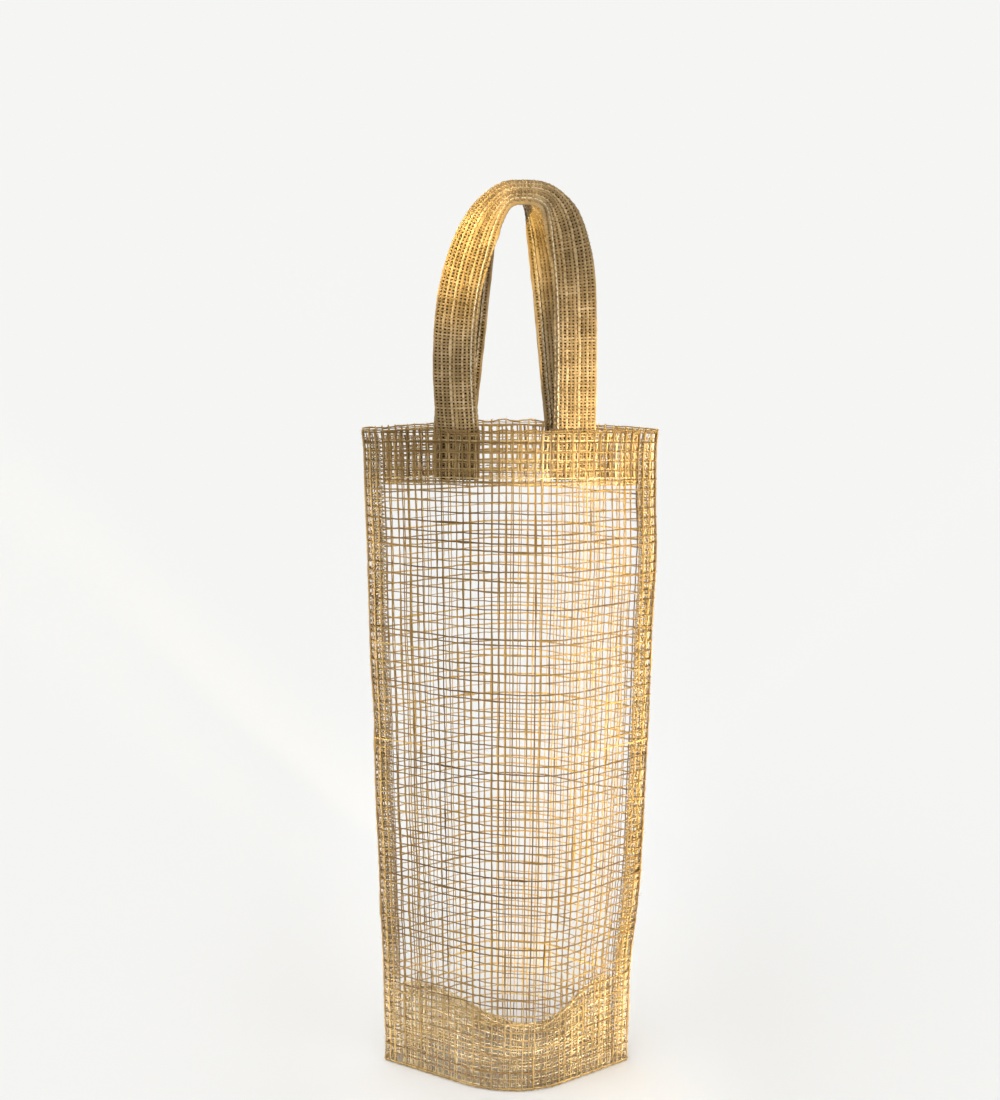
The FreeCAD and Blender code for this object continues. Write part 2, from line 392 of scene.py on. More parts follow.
# Front and back panels of open net
panelNet = {
    "warps": 44,
    "wefts": 74,
    "bunching": 0.10,        # how much closer the warps lie beside a seam, and wider at the middle
    "radius": 0.00032,
    "crimp": 0.00026,
    "uneven": 0.18,
    "slub": 1.8,
    "tintSpread": 0.20,
    "panelLightShadeTint": {"front": 0.33, "back": 0.98},   # painted light and shade: the back panel is painted lighter for its lit inside face, the front darker for its shaded face
    "cutEnds": True,         # the yarns go on inside the seams and the hem
    "rowWave": 0.0010,       # slow wave that neighbouring rows share
    "rowSag": {"front": 0.0032, "back": 0.0},   # how far a row hangs at its middle
    "rowRipple": 0.0005,     # each row's own wave
    "rowJitter": 0.0004,
    "warpWave": 0.0005,
    "warpJitter": 0.0003,
    "edgeShare": 0.993,      # place of the last warp beside a seam
    "lowestRow": 0.0017,
    "highestRow": 0.3588,
    "calm": (6, 8),          # rows lie straighter at the base and at the rim: how fast that wears off
    # Heights and lifts of a warp where it turns in round the lower edge and where it rolls over the rim
    "footTuck": (0.0025, -0.0021),
    "footTurn": ((0.0008, -0.0017), (0.0007, -0.0009), (0.0010, -0.0003)),
    "loopHeight": (0.0, 0.0015),
    "rimTurn": ((0.0, -0.0001), (0.0005, -0.0008), (0.0, -0.0015)),
    "rimTuck": (-0.0025, -0.0017),
    # A weft's turn into a seam: steps in X from the edge, and shares of the edge's depth
    "seamTurn": ((-0.0003, 0.8), (-0.0004, 0.45), (-0.0012, 0.27), (-0.004, 0.26)),
    "foldSteps": 70,
    "foldReach": 0.99,       # how far the yarns on the folds run towards the seams
    "seed": {"front": 11, "back": 12},
}
panelFuzz = {"count": 700, "length": 0.0040, "radius": 0.00005}
rimFuzz = {"count": 170, "length": 0.0030, "radius": 0.00006}
# Yarns on the folds of the rim and the base: height, lift and unevenness
foldRows = ((0.3598, -0.0003, 0.0010), (0.0008, -0.0002, 0.0002))


def warpShare(place):
    # Place of a warp across a panel, counted from the left seam
    even = 2 * place / (panelNet["warps"] - 1) - 1
    return panelNet["edgeShare"] * (even + panelNet["bunching"] * math.sin(math.pi * even) / math.pi)


def rowLevel(row):
    # Height of a row of a panel, counted from the base
    along = row / (panelNet["wefts"] - 1)
    return panelNet["lowestRow"] + (panelNet["highestRow"] - panelNet["lowestRow"]) * along


def panelCrossings(side, rng):
    seed = rng.uniform(0, 100)
    rowShift = [rng.gauss(0, panelNet["rowJitter"]) for _ in range(panelNet["wefts"])]
    rowShift[0] = 0.0
    rowShift[-1] = 0.0
    warpShift = [rng.gauss(0, panelNet["warpJitter"]) for _ in range(panelNet["warps"])]
    crossings = []
    for row in range(panelNet["wefts"]):
        level = rowLevel(row)
        along = row / (panelNet["wefts"] - 1)
        calm = min(1.0, panelNet["calm"][0] * along, panelNet["calm"][1] * (1 - along))
        line = []
        for column in range(panelNet["warps"]):
            share = warpShare(column)
            wave = panelNet["rowWave"] * noise.noise((2.2 * share, level * 30, seed))
            ripple = panelNet["rowRipple"] * noise.noise((5.0 * share, row * 3.7, seed + 20))
            sag = panelNet["rowSag"][side] * (1 - share ** 2)
            z = level + calm * (rowShift[row] + wave + ripple - sag)
            sway = panelNet["warpWave"] * noise.noise((column * 4.1, level * 28, seed + 40))
            sway += warpShift[column]
            line.append((share + sway / halfWidthAt(level), max(z, panelNet["lowestRow"])))
        crossings.append(line)
    return crossings


def makePanel(side):
    rng = random.Random(panelNet["seed"][side])
    # The panel's tint carries painted light and shade: lighter on the back panel, darker on the front
    net = {**panelNet, "tint": panelNet["panelLightShadeTint"][side]}
    places = panelCrossings(side, rng)
    crossings = [[clothPoint(side, share, z) for share, z in line] for line in places]

    def warpTails(column):
        # A warp turns in at the base and rolls over the rim in a small loop
        lowShare, low = places[0][column]
        rise, lift = panelNet["footTuck"]
        foot = [(low + rise, lift), *panelNet["footTurn"]]
        highShare, high = places[-1][column]
        loop = rng.uniform(*panelNet["loopHeight"])
        rim = [(high + loop + rise, lift) for rise, lift in panelNet["rimTurn"]]
        rise, lift = panelNet["rimTuck"]
        rim.append((high + rise, lift))
        head = [clothPoint(side, lowShare, z, lift)[0] for z, lift in foot]
        end = [clothPoint(side, highShare, z, lift)[0] for z, lift in rim]
        return head, end

    def weftTails(row):
        # A weft turns in at each seam and lies against the one from the other panel
        tails = []
        for sign, place in ((-1, places[row][0]), (1, places[row][-1])):
            edge = clothPoint(side, sign, place[1])[0]
            turn = panelNet["seamTurn"]
            tails.append([Vector((edge.x + sign * dx, edge.y * dy, edge.z)) for dx, dy in turn])
        return list(reversed(tails[0])), tails[1]

    yarns = netYarns(crossings, net, rng, warpTails, weftTails)
    for height, lift, uneven in foldRows:
        steps = panelNet["foldSteps"]
        shares = [2 * step / steps - 1 for step in range(steps + 1)]
        heights = [height + uneven * noise.noise((share * 11, height * 4000, 2.0)) for share in shares]
        reach = panelNet["foldReach"]
        line = [clothPoint(side, reach * share, z, lift) for share, z in zip(shares, heights)]
        yarns.append(wovenYarn(line, net, rng, True))
    yarns += looseFibres(crossings, panelFuzz, rng)
    yarns += looseFibres(crossings[-1:], rimFuzz, rng)
    piece = yarnPiece(f"{side}PanelNet", yarns, netJute)
    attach(piece, "bag")
    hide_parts(f"{side}_panel")
    return piece


panels = {side: makePanel(side) for side in facing}
print("panels woven")

# Hems: the net turned in twice at the mouth
hemJute = juteMaterial("hem jute", {
    **juteFinish,
    "dark": (0.17, 0.10, 0.036),
    "middle": (0.56, 0.385, 0.165),
    "light": (0.86, 0.67, 0.37),
})
hemNet = {
    "firstWarp": 2.97,       # the warps and the rows of the panel that the hem lies along
    "lastWarp": 40.03,
    "warps": 39,
    "rows": (67.6, 68, 69, 70, 71, 72, 72.8),
    "radius": 0.00034,
    "crimp": 0.00028,
    "uneven": 0.18,
    "slub": 2.0,
    "tint": 0.5,
    "tintSpread": 0.24,
    "cutEnds": True,
    "layers": ((-0.0013, 0.03), (-0.0019, -0.30)),   # lift of a layer and its shift in cells
    "rowShift": 0.5,         # the rows take this share of the shift
    "highest": 0.3584,
    "jitter": 0.0007,
    "wander": 0.35,          # how far a warp strays, in cells
    "inset": 0.0098,         # side seam to the end of the hem
    "seed": {"front": 21, "back": 22},
}


def makeHem(side):
    rng = random.Random(hemNet["seed"][side])
    yarns = []
    for layer, shift in hemNet["layers"]:
        crossings = []
        for row in hemNet["rows"]:
            level = rowLevel(row + hemNet["rowShift"] * shift)
            level = min(hemNet["highest"], level + rng.uniform(-1, 1) * hemNet["jitter"])
            line = []
            for column in range(hemNet["warps"]):
                place = hemNet["firstWarp"] + column + shift
                place += hemNet["wander"] * noise.noise((column * 3.3, level * 60, layer * 9000))
                place = min(hemNet["lastWarp"], max(hemNet["firstWarp"], place))
                share = warpShare(place)
                z = level + hemNet["jitter"] * noise.noise((share * 6, row * 5.1, layer * 7000))
                line.append(clothPoint(side, share, z, layer))
            crossings.append(line)
        yarns += netYarns(crossings, hemNet, rng)
    piece = yarnPiece(f"{side}HemNet", yarns, hemJute)
    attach(piece, "bag")
    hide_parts(f"{side}_hem")


for side in facing:
    makeHem(side)
print("hems turned in")

# Base gusset: the net folded up between the panels, slumped at its middle
gussetJute = juteMaterial("gusset jute", {
    **juteFinish,
    "dark": (0.28, 0.19, 0.085),
    "middle": (0.50, 0.37, 0.19),
    "light": (0.74, 0.58, 0.34),
    "roughness": 0.9,
    "blotchScale": 60.0,
})
gussetNet = {
    "warps": 32,
    "wefts": 21,
    "radius": 0.00036,
    "crimp": 0.00030,
    "uneven": 0.18,
    "slub": 2.2,
    "tint": 0.5,
    "tintSpread": 0.20,
    "cutEnds": True,
    "plies": ((-0.0005, -0.2, -0.25), (0.0005, 0.2, 0.25)),   # lift, and shift of rows and warps in cells
    "wander": {"share": 0.012, "way": 0.03},   # how far the crossings stray
    "normalStep": {"share": 0.02, "way": 0.03},
    "depth": 0.046,          # bottom edge to the fold
    "fold": 0.002,
    "foldRound": 0.06,       # larger is rounder
    "leastLean": 0.001,
    "lowest": 0.0015,
    "inset": 0.0098,
    "room": 0.0022,          # outer face of a panel to the gusset
    "slump": 0.0165,         # how far the fold hangs below a taut one
    "slumpPlace": 0.0255,
    "slumpWidth": {"left": 0.036, "right": 0.017},
    "rise": {"left": 0.0015, "right": 0.0060},   # how far it stands up at the two seams
    "riseReach": 0.05,
    "seed": 31,
}


def gussetPoint(share, way):
    # way runs from -1 at the front edge over 0 at the fold to 1 at the back edge
    x = share * (halfWidthAt(0) - gussetNet["inset"])
    side = "front" if way < 0 else "back"
    floorHalf = arcDepth(crestArc(side, 0), abs(x)) - gussetNet["room"]
    lean = max(gussetNet["leastLean"], floorHalf - gussetNet["fold"])
    height = math.sqrt(gussetNet["depth"] ** 2 - lean ** 2)
    hand = "left" if x < gussetNet["slumpPlace"] else "right"
    off = (x - gussetNet["slumpPlace"]) / gussetNet["slumpWidth"][hand]
    height -= gussetNet["slump"] * math.exp(-off * off)
    seamHand = "right" if x > 0 else "left"
    height += gussetNet["rise"][seamHand] * smoothStep(abs(x) / gussetNet["riseReach"])
    rounded = gussetNet["foldRound"]
    reach = abs(way)
    full = math.sqrt(1 + rounded ** 2)
    climb = (full - math.sqrt(reach ** 2 + rounded ** 2)) / (full - rounded)
    y = floorHalf * reach * (1 if way > 0 else -1)
    lowest = gussetNet["lowest"]
    return Vector((x, y, lowest + (height - lowest) * climb))


def makeGusset():
    rng = random.Random(gussetNet["seed"])
    wander = gussetNet["wander"]
    step = gussetNet["normalStep"]
    yarns = []
    for ply, rowShift, warpShift in gussetNet["plies"]:
        crossings = []
        for row in range(gussetNet["wefts"]):
            way = 2 * (row + rowShift) / (gussetNet["wefts"] - 1) - 1
            line = []
            for column in range(gussetNet["warps"]):
                share = 2 * (column + warpShift) / (gussetNet["warps"] - 1) - 1
                share += wander["share"] * noise.noise((column * 3.1, way * 3, ply * 9000))
                stray = wander["way"] * noise.noise((share * 4, row * 2.9, ply * 7000))
                bent = way + stray * (1 - way * way)
                share = min(1.0, max(-1.0, share))
                bent = min(1.0, max(-1.0, bent))
                right = gussetPoint(share + step["share"], bent)
                across = right - gussetPoint(share - step["share"], bent)
                further = gussetPoint(share, min(1, bent + step["way"]))
                along = further - gussetPoint(share, max(-1, bent - step["way"]))
                normal = across.cross(along).normalized()
                line.append((gussetPoint(share, bent) + normal * ply, normal))
            crossings.append(line)
        yarns += netYarns(crossings, gussetNet, rng)
    piece = yarnPiece("baseGussetNet", yarns, gussetJute)
    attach(piece, "bag")
    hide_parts("base_gusset")


makeGusset()
print("gusset folded")

# Side seams: two layers of net turned in, closed by an overlock stitch
seamNet = {
    "warps": 6,
    "wefts": 120,
    "radius": 0.00036,
    "crimp": 0.00026,
    "uneven": 0.20,
    "slub": 2.0,
    "tint": 0.5,
    "tintSpread": 0.20,
    "cutEnds": False,
    "layerDepth": 0.0006,    # middle plane to a layer
    "start": 0.0006,         # side seam to the first warp
    "endGap": 0.0015,        # floor to the first row, and last row to the rim
    "jitter": 0.0007,
    "calmHeight": 0.01,      # the rows lie straighter below this
    "seed": {"left": 41, "right": 42},
}
seamFuzz = {"count": 260, "length": 0.0030, "radius": 0.00006}
overlock = {
    "pitch": 0.0021,
    "width": 0.0060,
    "edge": 0.0092,          # side seam to the raw edge
    "depth": 0.0015,
    "radius": 0.00030,
    "corner": 0.001,         # raw edge to where a loop bends
    "overhang": 0.0003,      # how far a loop stands past the raw edge
    "climb": (0.0, 0.30, 0.42, 0.5, 0.62),   # heights round a loop, as shares of the pitch
    "uneven": 0.0004,
    "endGap": 0.003,         # floor to the first stitch, and last stitch to the rim
    "chainRadius": 0.00036,
    "chainSwell": 0.2,       # every second point is this much thicker
    "chainLift": 0.0002,
    "chainPlace": 0.3,       # height of a chain's point, as a share of the pitch
    "tints": {"loops": 0.5, "chains": 0.6},
    "seed": {"left": 51, "right": 52},
}


def makeSeam(hand):
    rng = random.Random(seamNet["seed"][hand])
    sign = handSign[hand]
    span = bagForm["seamWidth"] - seamNet["start"]
    rise = bagForm["height"] - 2 * seamNet["endGap"]
    yarns = []
    for layer in (-1, 1):
        crossings = []
        for row in range(seamNet["wefts"]):
            z = seamNet["endGap"] + rise * row / (seamNet["wefts"] - 1)
            line = []
            for column in range(seamNet["warps"]):
                inset = seamNet["start"] + span * column / (seamNet["warps"] - 1)
                inset += seamNet["jitter"] * noise.noise((z * 40, column * 3.3, layer * 5.0))
                stray = seamNet["jitter"] * noise.noise((row * 2.7, column * 0.8, layer * 8.0))
                level = z + stray * min(1, z / seamNet["calmHeight"])
                x = sign * (seamPlace(sign, z) - inset)
                point = Vector((x, layer * seamNet["layerDepth"], level))
                line.append((point, Vector((0, layer, 0))))
            crossings.append(line)
        yarns += netYarns(crossings, seamNet, rng)
        yarns += looseFibres(crossings, seamFuzz, rng)
    piece = yarnPiece(f"{hand}SeamAllowance", yarns, seamJute)
    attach(piece, "bag")
    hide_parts(f"{hand}_seam_allowance")


def makeOverlock(hand):
    rng = random.Random(overlock["seed"][hand])
    sign = handSign[hand]
    pitch = overlock["pitch"]
    depth = overlock["depth"]
    loops = []
    chains = {1: [], -1: []}
    count = int((bagForm["height"] - 2 * overlock["endGap"]) / pitch)
    for stitch in range(count):
        z = overlock["endGap"] + stitch * pitch
        edge = seamPlace(sign, z) - overlock["edge"]
        uneven = rng.uniform(-overlock["uneven"], overlock["uneven"])
        inner = edge + overlock["width"] + uneven
        corner = edge + overlock["corner"]
        outer = edge - overlock["overhang"]
        turn = ((inner, -depth), (corner, -depth), (outer, 0.0), (corner, depth), (inner, depth))
        for (x, y), part in zip(turn, overlock["climb"]):
            loops.append(Vector((sign * x, y, z + part * pitch)))
        for layer, line in chains.items():
            y = layer * (depth + overlock["chainLift"])
            line.append(Vector((sign * inner, y, z + overlock["chainPlace"] * pitch)))
    radii = [overlock["radius"]] * len(loops)
    yarns = [{"points": loops, "radii": radii, "tint": overlock["tints"]["loops"]}]
    for line in chains.values():
        swells = [1.0 + overlock["chainSwell"] * (index % 2) for index in range(len(line))]
        radii = [overlock["chainRadius"] * swell for swell in swells]
        yarns.append({"points": line, "radii": radii, "tint": overlock["tints"]["chains"]})
    for yarn in yarns:
        yarn["radii"][0] = 0.0
        yarn["radii"][-1] = 0.0
    piece = yarnPiece(f"{hand}SeamOverlock", yarns, tanThread)
    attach(piece, "bag")
    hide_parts(f"{hand}_seam_overlock")


for hand in handSign:
    makeSeam(hand)
    makeOverlock(hand)
print("side seams closed")

# Handles: flat straps of close weave, each from inside the hem over its loop and down again
strapForm = {
    "width": 0.022,
    "thickness": 0.0018,
    "spacing": 0.060,
    "endLength": 0.026,
    "seatEnd": 0.12,         # way up a loop where the strap has left the slant of the hem
    "twistStart": 0.3,       # way up a loop where it starts to turn edge-on
    "gap": 0.0008,           # between the two handles
    "shift": {"front": 0.003, "back": 0.0},
    "rise": {"front": 0.1235, "back": 0.117},
    "topTurn": {"front": 70, "back": 80},
    "squareness": {
        "front": {"left": 2.2, "right": 3.8},
        "back": {"left": 2.5, "right": 2.5},
    },
    "bow": {
        "front": {"left": 0.0035, "right": 0.0},
        "back": {"left": -0.0040, "right": -0.0035},
    },
    "cup": 0.0008,           # the edges bend back this far
    # Degrees that an edge curls back on each half of a loop, where that starts and where it ends
    "curl": {
        "front": {
            "left": {"inner": (55, -0.2, 0.75), "outer": (20, -0.2, 0.8)},
            "right": {"inner": (75, -0.2, 0.60), "outer": (60, 0.25, 0.98)},
        },
        "back": {
            "left": {"inner": (25, -0.2, 0.8), "outer": (0, 0, 1)},
            "right": {"inner": (35, -0.2, 0.8), "outer": (0, 0, 1)},
        },
    },
    "curlWidth": 0.0062,     # strip along an edge that curls
    "curlFade": {"start": 0.20, "end": 0.30},   # ways over which a curl comes and goes
    "steps": {"sewnEnd": 20, "halfLoop": 240},  # for measuring the length of a strap
}
strapWeave = {
    "ribs": 11,              # warps on each face
    "outerRib": 0.940,       # place of the outermost ribs
    "rowPitch": 0.00165,
    "level": 0.00036,        # middle of the strap to the middle of a face
    "crimp": 0.00020,
    "radius": 0.00060,
    "uneven": 0.14,
    "slub": 1.2,
    "tintSpread": 0.16,
    "ribTint": 0.55,
    "weftTint": 0.42,
    "weftTintSpread": 0.08,
    "weftRadius": 0.00053,
    "weftSizes": (0.82, 1.18),         # from weft to weft
    "weftSwell": (0.88, 1.12),         # along a weft
    "foldedEdge": 0.955,     # place of the yarns on the two folded edges
    "sway": 0.00030,
    "drift": 0.22,           # how far a weft wanders along the strap, as a share of the pitch
    "coreReach": 0.93,       # how far the core runs towards the edges
    "coreCells": 10,
    "seed": {"front": 61, "back": 62},
}
layerGap = 0.0003
layerOffset = 0.0015         # cloth and the gap to the next layer


def strapSeat(side, hand):
    # Middle of a strap at the rim, its directions inwards along the width and out of its face,
    # and its turn
    sign = handSign[hand]
    x = strapForm["shift"][side] + sign * strapForm["spacing"] / 2
    arc = crestArc(side, bagForm["height"])
    steepest = math.pi / 2 - arc[2]
    turn = math.copysign(min(steepest, math.asin(abs(x) / arc[0])), x)
    outward = Vector((math.sin(turn), facing[side] * math.cos(turn), 0))
    along = Vector((math.cos(turn), -facing[side] * math.sin(turn), 0)) * -sign
    hemRadius = arc[0] - 2 * layerOffset + layerGap
    hollow = hemRadius - math.sqrt(hemRadius ** 2 - (strapForm["width"] / 2) ** 2)
    layers = 2 * layerOffset + hollow + strapForm["thickness"] / 2
    surface = Vector((x, facing[side] * arcDepth(arc, abs(x)), bagForm["height"]))
    return surface - outward * layers, along, outward, abs(turn)


seats = {side: {hand: strapSeat(side, hand) for hand in handSign} for side in facing}
betweenHandles = sum(seats[side][hand][0].y for side in facing for hand in handSign) / 4


def strapStation(side, hand, way):
    # way runs from 0 at the rim to 1 at the top of the loop
    centre, seatAlong, seatOutward, seatTurn = seats[side][hand]
    sign = handSign[hand]
    topX = strapForm["shift"][side]
    power = 2 / strapForm["squareness"][side][hand]

    def archAt(share):
        angle = share * math.pi / 2
        reach = max(0.0, math.cos(angle)) ** power
        climb = max(0.0, math.sin(angle)) ** power
        bow = sign * strapForm["bow"][side][hand] * math.sin(math.pi * climb)
        x = topX + (centre.x - topX) * reach + bow
        return Vector((x, 0, bagForm["height"] + strapForm["rise"][side] * climb))

    step = 0.001
    heading = (archAt(min(1.0, way + step)) - archAt(max(0.0, way - step))).normalized()
    inward = Vector((-sign * heading.z, 0, sign * heading.x))
    twist = smoothStep((way - strapForm["twistStart"]) / (1 - strapForm["twistStart"]))
    turn = seatTurn + (math.radians(strapForm["topTurn"][side]) - seatTurn) * twist
    forward = Vector((0, facing[side], 0))
    along = inward * math.cos(turn) + forward * math.sin(turn)
    outward = forward * math.cos(turn) - inward * math.sin(turn)
    reachBack = strapForm["width"] / 2 * math.sin(turn) + strapForm["thickness"] / 2 * math.cos(turn)
    clearY = betweenHandles + facing[side] * (reachBack + strapForm["gap"] / 2)
    y = facing[side] * max(facing[side] * centre.y, facing[side] * clearY)
    blendIn = smoothStep(way / strapForm["seatEnd"])
    along = seatAlong.lerp(along, blendIn).normalized()
    outward = seatOutward.lerp(outward, blendIn).normalized()
    curls = []
    for edge in ("outer", "inner"):
        degrees, curlFrom, curlTo = strapForm["curl"][side][hand][edge]
        fade = smoothStep((way - curlFrom) / strapForm["curlFade"]["start"])
        fade *= smoothStep((curlTo - way) / strapForm["curlFade"]["end"])
        curls.append(math.radians(degrees) * fade)
    return archAt(way) + Vector((0, y, 0)), along, outward, Vector(curls)


def strapLine(side):
    # Stations at equal steps along a whole handle, with the sewn ends inside the hem
    sewnSteps = strapForm["steps"]["sewnEnd"]
    loopSteps = strapForm["steps"]["halfLoop"]
    dense = []
    for hand in ("left", "right"):
        centre, along, outward, _ = seats[side][hand]
        run = []
        for step in range(sewnSteps):
            drop = Vector((0, 0, -strapForm["endLength"] * (1 - step / sewnSteps)))
            run.append((centre + drop, along, outward, Vector((0.0, 0.0))))
        run += [strapStation(side, hand, step / loopSteps) for step in range(loopSteps + 1)]
        dense += run if hand == "left" else list(reversed(run))[1:]
    lengths = [0.0]
    for before, after in zip(dense, dense[1:]):
        lengths.append(lengths[-1] + (after[0] - before[0]).length)
    rows = int(lengths[-1] / strapWeave["rowPitch"])
    stations = []
    index = 0
    for row in range(rows + 1):
        target = lengths[-1] * row / rows
        while index + 2 < len(dense) and lengths[index + 1] < target:
            index += 1
        part = (target - lengths[index]) / max(1e-9, lengths[index + 1] - lengths[index])
        stations.append(between(dense[index], dense[index + 1], part))
    return stations


def between(before, after, part):
    # The station part of the way from one station to the next
    centre = before[0].lerp(after[0], part)
    along = before[1].lerp(after[1], part).normalized()
    outward = before[2].lerp(after[2], part).normalized()
    return centre, along, outward, before[3].lerp(after[3], part)


def strapPoint(station, across, level):
    # across runs from -1 at the outer edge to 1 at the inner edge
    # level is measured square to the bent face
    centre, along, outward, curls = station
    halfWidth = strapForm["width"] / 2
    edge = 1 if across > 0 else -1
    curl = max(1e-4, curls[0] if across < 0 else curls[1])
    flat = halfWidth - strapForm["curlWidth"]
    past = max(0.0, abs(across) * halfWidth - flat)
    angle = curl * past / strapForm["curlWidth"]
    bendRadius = strapForm["curlWidth"] / curl
    reach = min(abs(across) * halfWidth, flat) + bendRadius * math.sin(angle)
    sink = strapForm["cup"] * across ** 2 + bendRadius * (1 - math.cos(angle))
    lean = angle + math.atan(2 * strapForm["cup"] * abs(across) / halfWidth)
    normal = outward * math.cos(lean) + along * (edge * math.sin(lean))
    return centre + along * (edge * reach) - outward * sink + normal * level


def makeStrap(side, stations):
    rng = random.Random(strapWeave["seed"][side])
    ribs = strapWeave["ribs"]
    crimp = strapWeave["crimp"]
    foldedEdge = strapWeave["foldedEdge"]
    halfWidth = strapForm["width"] / 2
    ribPlaces = [strapWeave["outerRib"] * (2 * rib / (ribs - 1) - 1) for rib in range(ribs)]
    rows = len(stations) - 1
    yarns = []
    lanes = [(face, rib, place) for face in (1, -1) for rib, place in enumerate(ribPlaces)]
    lanes += [(0, 0, -foldedEdge), (0, 1, foldedEdge)]
    for face, rib, place in lanes:
        phase = rng.uniform(0, 100)
        points = []
        for index, station in enumerate(stations):
            over = 1 if (rib + index) % 2 == 0 else -1
            sway = strapWeave["sway"] * noise.noise((index * 0.20, phase, 1.0)) / halfWidth
            level = face * (strapWeave["level"] + over * crimp)
            points.append(strapPoint(station, place + sway, level))
        radii = yarnRadii(len(points), strapWeave, rng)
        radii[0] = 0.0
        radii[-1] = 0.0
        tint = rng.gauss(strapWeave["ribTint"], strapWeave["tintSpread"])
        yarns.append({"points": points, "radii": radii, "tint": tint})
    for row in range(1, rows):
        loop = []
        for face in (1, -1):
            order = list(enumerate(ribPlaces))
            if face == -1:
                order.reverse()
            for rib, place in order:
                over = -1 if (rib + row) % 2 == 0 else 1
                drift = 0.5 * strapWeave["drift"] * noise.noise((place * 3, row * 4.3, 7.0 * face))
                spot = between(stations[row - 1], stations[row + 1], 0.5 + drift)
                loop.append(strapPoint(spot, place, face * (strapWeave["level"] + over * crimp)))
            loop.append(strapPoint(stations[row], face * foldedEdge, 0.0))
        radius = strapWeave["weftRadius"] * rng.uniform(*strapWeave["weftSizes"])
        radii = [radius * rng.uniform(*strapWeave["weftSwell"]) for _ in loop]
        tint = rng.gauss(strapWeave["weftTint"], strapWeave["weftTintSpread"])
        yarns.append({"points": loop, "radii": radii, "tint": tint, "closed": True})
    piece = yarnPiece(f"{side}HandleStrap", yarns, strapJute, strapShade)
    # A thin core between the two faces keeps light out of the weave's gaps; its near-black colour is
    # painted shade in those gaps
    bm = bmesh.new()
    bm.from_mesh(piece.data)
    grid = bmesh.ops.create_grid(bm, x_segments=rows, y_segments=strapWeave["coreCells"], size=1.0)
    for vert in grid["verts"]:
        station = stations[round((vert.co.x + 1) * rows / 2)]
        vert.co = strapPoint(station, strapWeave["coreReach"] * vert.co.y, 0.0)
    for face in {face for vert in grid["verts"] for face in vert.link_faces}:
        face.material_index = 1
    bm.to_mesh(piece.data)
    bm.free()
    return piece


strapStitch = {
    "place": 0.72,           # near the inner edge of the loop
    "uneven": 0.012,
    "start": 0.001,          # rim to the first stitch
    # Row of the weave, part of the way to the next row, and how deep the thread lies there
    "steps": ((0, 0.05, 0.0005), (0, 0.5, 0.0), (1, 0.4, 0.0), (1, 0.9, 0.0005)),
    "radii": (0.00018, 0.00031, 0.00031, 0.00018),
    "tint": (0.55, 0.15),    # its middle and its spread
    "seed": {"front": 71, "back": 72},
}
# The frame of stitches on each sewn end
endStitch = {
    "inset": 0.003,          # edge of the strap to the frame
    "length": 0.0034,
    "steps": ((0.03, 0.0005), (0.3, 0.0), (0.7, 0.0), (0.97, 0.0005)),
    "radii": (0.00015, 0.00032, 0.00032, 0.00015),
    "tint": (0.5, 0.1),
}
# Middle of a strap to a thread on its face
threadRise = strapWeave["level"] + strapWeave["crimp"] + strapWeave["radius"]


def makeStrapStitching(side, stations):
    rng = random.Random(strapStitch["seed"][side])
    uneven = strapStitch["uneven"]
    yarns = []
    for index in range(0, len(stations) - 2, 2):
        if stations[index][0].z < bagForm["height"] + strapStitch["start"]:
            continue
        for face in (1, -1):
            points = []
            for row, part, sink in strapStitch["steps"]:
                station = between(stations[index + row], stations[index + row + 1], part)
                place = strapStitch["place"] + rng.uniform(-uneven, uneven)
                points.append(strapPoint(station, place, face * (threadRise - sink)))
            tint = rng.gauss(*strapStitch["tint"])
            yarns.append({"points": points, "radii": list(strapStitch["radii"]), "tint": tint})
    return yarnPiece(f"{side}HandleStitching", yarns, ivoryThread)


def makeEndStitching(side, hand):
    # A sewn frame on the face of the strap end that shows inside the bag
    rng = random.Random(f"{side} {hand}")
    centre, along, outward, _ = seats[side][hand]
    halfWidth = strapForm["width"] / 2
    halfFrame = halfWidth - endStitch["inset"]
    top = -endStitch["inset"]
    bottom = endStitch["inset"] - strapForm["endLength"]
    corners = [(-halfFrame, top), (halfFrame, top), (halfFrame, bottom), (-halfFrame, bottom)]
    yarns = []
    for (x0, z0), (x1, z1) in zip(corners, corners[1:] + corners[:1]):
        count = round(math.hypot(x1 - x0, z1 - z0) / endStitch["length"])
        for stitch in range(count):
            points = []
            for part, sink in endStitch["steps"]:
                share = (stitch + part) / count
                across = x0 + (x1 - x0) * share
                drop = Vector((0, 0, z0 + (z1 - z0) * share))
                cup = strapForm["cup"] * (across / halfWidth) ** 2
                points.append(centre + along * across - outward * (threadRise - sink + cup) + drop)
            tint = rng.gauss(*endStitch["tint"])
            yarns.append({"points": points, "radii": list(endStitch["radii"]), "tint": tint})
    piece = yarnPiece(f"{side}{hand.capitalize()}EndStitching", yarns, ivoryThread)
    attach(piece, "bag")
    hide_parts(f"{side}_handle_{hand}_end_stitching")


for side in facing:
    stations = strapLine(side)
    strap = makeStrap(side, stations)
    stitching = makeStrapStitching(side, stations)
    for piece in (strap, stitching):
        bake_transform(piece)
    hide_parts(f"{side}_handle_strap", f"{side}_handle_left_end", f"{side}_handle_right_end")
    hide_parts(f"{side}_handle_stitching")
    for hand in handSign:
        makeEndStitching(side, hand)
print("handles woven and sewn in")

# The line of thread that sews down each hem
hemStitch = {
    "height": 0.0034,        # lower edge of the hem to the line
    "length": 0.0042,
    "gap": 0.0010,
    "radius": 0.00032,
    "steps": ((0.0, 0.0), (0.25, 0.0009), (0.75, 0.0009), (1.0, 0.0)),   # parts of the length, and lifts
    "uneven": 0.0001,
    "tint": (0.4, 0.12),
    "seed": {"front": 81, "back": 82},
}


